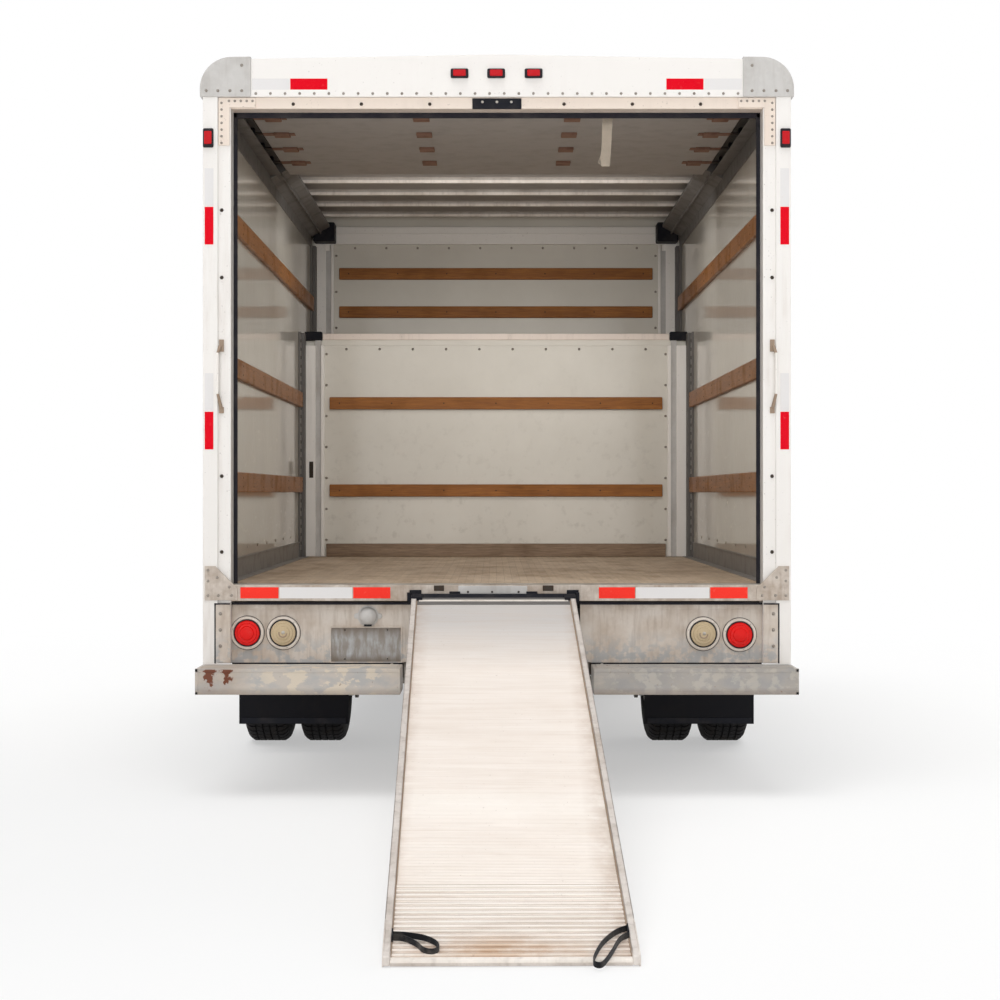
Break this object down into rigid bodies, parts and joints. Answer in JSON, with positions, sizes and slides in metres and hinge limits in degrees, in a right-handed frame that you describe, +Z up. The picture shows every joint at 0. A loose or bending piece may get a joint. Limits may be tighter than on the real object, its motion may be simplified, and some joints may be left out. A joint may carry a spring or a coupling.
{
  "type": "box truck",
  "caption": "Moving van with a cutaway cab, an attic over the cab, an open roll-up rear door and a loading ramp set down on the ground.",
  "frame": {"origin": "on the ground, in the middle of the overall length from the ramp's foot to the front bumper, on the truck's centre line", "axes": "+Y towards the nose, +Z up, +X to the truck's right"},
  "size_m": [2.62, 9.2909, 3.0548],
  "materials": {
    "white_paint": "gloss",
    "cream_panel": "satin",
    "grey_cap": "satin",
    "galvanised": "weathered",
    "bumper_steel": "weathered",
    "black_steel": "satin",
    "cast_steel": "rough",
    "ramp_aluminium": "worn",
    "roof_skin": "satin",
    "wood": "worn",
    "floor_wood": "worn",
    "webbing": "woven",
    "rubber": "matt",
    "tyre": "matt",
    "wheel_steel": "gloss",
    "lamp": "clear",
    "headlamp": "clear",
    "glass": "clear",
    "black_plastic": "grained",
    "seat_cloth": "woven",
    "chrome": "polished"
  },
  "bodies": {
    "truck": {"cargo_wall_right": "white_paint", "cargo_wall_left": "white_paint", "cargo_front_wall": "cream_panel", "attic_floor": "cream_panel", "attic_front": "white_paint", "roof": "roof_skin", "top_rails": "galvanised", "cargo_floor": "floor_wood", "rear_frame": "white_paint", "corner_caps": "grey_cap", "door_header": "cream_panel", "tail_panel": "galvanised", "tail_lamps": "lamp", "rear_bumper": "bumper_steel", "roll_up_door": "cream_panel", "door_tracks": "galvanised", "wall_slats": "wood", "corner_posts": "white_paint", "scuff_plates": "galvanised", "pull_strap": "webbing", "chassis_frame": "black_steel", "ramp_bay": "galvanised", "rear_axle": "cast_steel", "driveshaft": "cast_steel", "springs": "black_steel", "front_axle": "cast_steel", "engine_block": "cast_steel", "fuel_tank": "black_steel", "exhaust": "galvanised", "mud_flaps": "rubber", "cab_shell": "white_paint", "front_end": "white_paint", "windscreen": "glass", "grille": "black_plastic", "headlamps": "headlamp", "cab_floor": "black_steel", "seats": "seat_cloth", "dashboard": "black_plastic", "front_bumper": "chrome", "ramp_hinge": "black_steel"},
    "hood": {"hood": "white_paint"},
    "cab_door_left": {"cab_door_left": "white_paint", "door_glass_left": "glass"},
    "cab_door_right": {"cab_door_right": "white_paint", "door_glass_right": "glass"},
    "knuckle_left": {"knuckle_left": "cast_steel"},
    "knuckle_right": {"knuckle_right": "cast_steel"},
    "front_wheel_left": {"front_wheel_left": "wheel_steel", "front_tyre_left": "tyre"},
    "front_wheel_right": {"front_wheel_right": "wheel_steel", "front_tyre_right": "tyre"},
    "rear_wheels_left": {"rear_wheels_left": "wheel_steel", "rear_tyres_left": "tyre"},
    "rear_wheels_right": {"rear_wheels_right": "wheel_steel", "rear_tyres_right": "tyre"},
    "ramp": {"ramp": "ramp_aluminium", "ramp_handles": "webbing"}
  },
  "joints": [
    {"name": "hood_hinge", "type": "hinge", "parent": "truck", "child": "hood", "pos_m": [0, 3.66312, 1.28], "axis": [1, 0, 0], "range_deg": [0, 50]},
    {"name": "door_left_hinge", "type": "hinge", "parent": "truck", "child": "cab_door_left", "pos_m": [-1.001, 3.30162, 0.9], "axis": [0, 0, -1], "range_deg": [0, 65]},
    {"name": "door_right_hinge", "type": "hinge", "parent": "truck", "child": "cab_door_right", "pos_m": [1.001, 3.30162, 0.9], "axis": [0, 0, 1], "range_deg": [0, 65]},
    {"name": "steer_left", "type": "hinge", "parent": "truck", "child": "knuckle_left", "pos_m": [-0.77, 3.74562, 0.372], "axis": [0, 0, 1], "range_deg": [-32, 32]},
    {"name": "steer_right", "type": "hinge", "parent": "truck", "child": "knuckle_right", "pos_m": [0.77, 3.74562, 0.372], "axis": [0, 0, 1], "range_deg": [-32, 32]},
    {"name": "front_wheel_left_spin", "type": "hinge", "parent": "knuckle_left", "child": "front_wheel_left", "pos_m": [-0.87, 3.74562, 0.372], "axis": [1, 0, 0], "continuous": true},
    {"name": "front_wheel_right_spin", "type": "hinge", "parent": "knuckle_right", "child": "front_wheel_right", "pos_m": [0.87, 3.74562, 0.372], "axis": [1, 0, 0], "continuous": true},
    {"name": "rear_wheels_left_spin", "type": "hinge", "parent": "truck", "child": "rear_wheels_left", "pos_m": [-0.988, 0.24062, 0.372], "axis": [1, 0, 0], "continuous": true},
    {"name": "rear_wheels_right_spin", "type": "hinge", "parent": "truck", "child": "rear_wheels_right", "pos_m": [0.988, 0.24062, 0.372], "axis": [1, 0, 0], "continuous": true},
    {"name": "ramp_hinge", "type": "hinge", "parent": "truck", "child": "ramp", "pos_m": [-0.015, -1.52438, 0.799], "axis": [-0.9999, -0.0157, 0], "range_deg": [0, 15]}
  ],
  "couplings": [
    {"joint": "steer_right", "follows": "steer_left", "ratio": 1}
  ]
}
